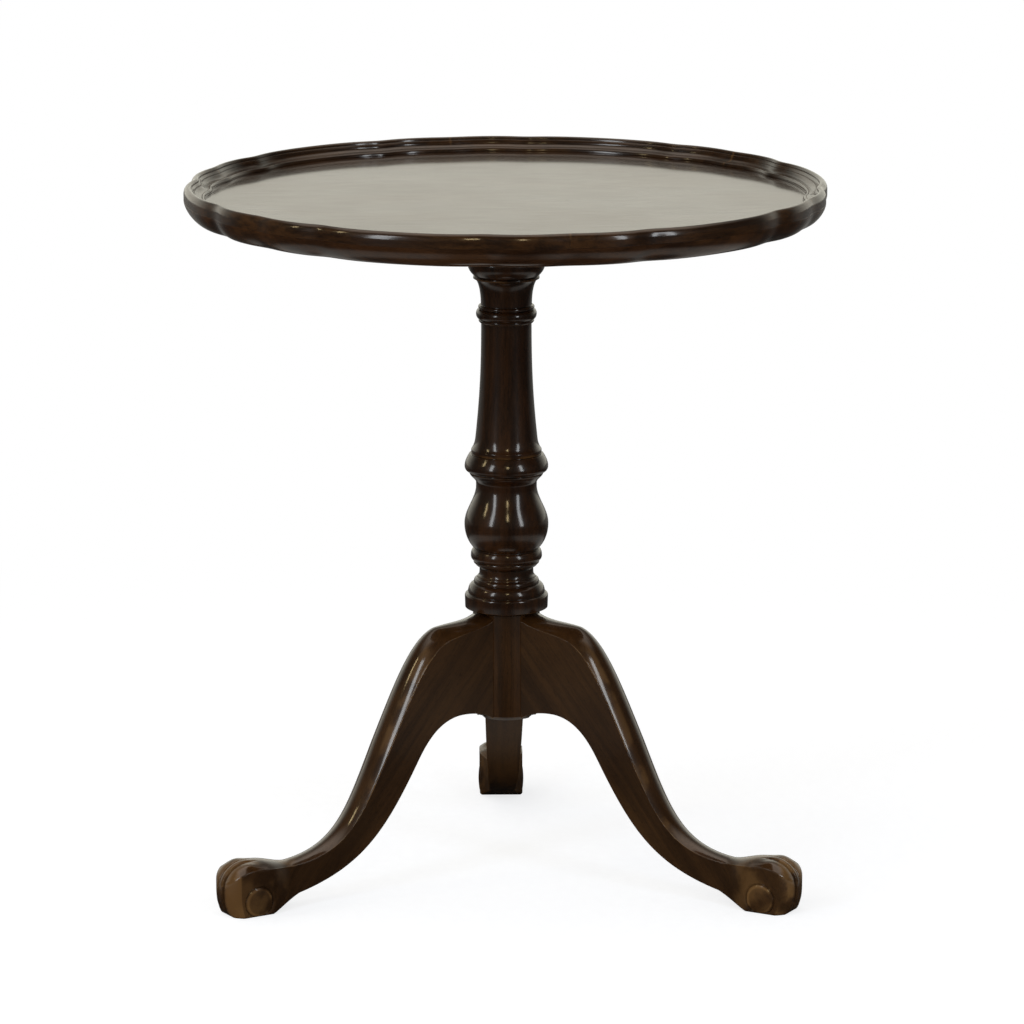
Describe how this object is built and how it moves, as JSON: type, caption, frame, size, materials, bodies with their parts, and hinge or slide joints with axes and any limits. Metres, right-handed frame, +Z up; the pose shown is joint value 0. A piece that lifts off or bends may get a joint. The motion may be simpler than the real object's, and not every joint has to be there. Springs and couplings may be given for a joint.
{
  "type": "tilt-top table",
  "caption": "Round tilt-top table with a scalloped moulded rim, a turned pillar and cabriole legs on ball-and-claw feet; the top tilts upright on pins and a spring catch holds it level.",
  "frame": {"origin": "on the floor, under the pillar's axis", "axes": "+Z up; -Y is the front, between the two front legs; the third leg points to +Y; the tilt axis runs along X"},
  "size_m": [0.6026, 0.6075, 0.6665],
  "materials": {
    "top_mahogany": "dark polished mahogany, high gloss",
    "rim_mahogany": "dark polished mahogany with worn golden arrises",
    "pillar_mahogany": "very dark polished mahogany, high gloss",
    "leg_mahogany": "dark polished mahogany, satin on the sawn sides",
    "underside_wood": "unpolished stained wood",
    "brass": "dull aged brass",
    "steel": "dull steel"
  },
  "bodies": {
    "base": {"pillar": "pillar_mahogany", "tenon_wedge": "underside_wood", "leg_back": "leg_mahogany", "leg_left": "leg_mahogany", "leg_right": "leg_mahogany", "tilt_block": "underside_wood", "pivot_pin_left": "steel", "pivot_pin_right": "steel", "keeper_plate": "brass", "keeper_screw_1": "brass", "keeper_screw_2": "brass"},
    "top": {"top_board": "top_mahogany", "rim_segment_1": "rim_mahogany", "rim_segment_2": "rim_mahogany", "rim_segment_3": "rim_mahogany", "rim_segment_4": "rim_mahogany", "rim_segment_5": "rim_mahogany", "rim_segment_6": "rim_mahogany", "bearer_left": "underside_wood", "bearer_right": "underside_wood", "bearer_screw_1": "steel", "bearer_screw_2": "steel", "bearer_screw_3": "steel", "bearer_screw_4": "steel", "bearer_screw_5": "steel", "bearer_screw_6": "steel", "catch_plate": "brass", "catch_case": "brass", "catch_spring": "steel", "catch_screw_1": "brass", "catch_screw_2": "brass", "catch_screw_3": "brass", "catch_screw_4": "brass"},
    "bolt": {"catch_bolt": "brass", "catch_knob": "brass"}
  },
  "joints": [
    {"name": "top_tilt", "type": "hinge", "parent": "base", "child": "top", "pos_m": [0, -0.0613, 0.6213], "axis": [1, 0, 0], "range_deg": [0, 90]},
    {"name": "catch_withdraw", "type": "slide", "parent": "top", "child": "bolt", "axis": [0, 1, 0], "range_m": [0, 0.011], "stiffness_N_per_m": 250, "springref_m": -0.012, "deforming": ["catch_spring"]}
  ]
}
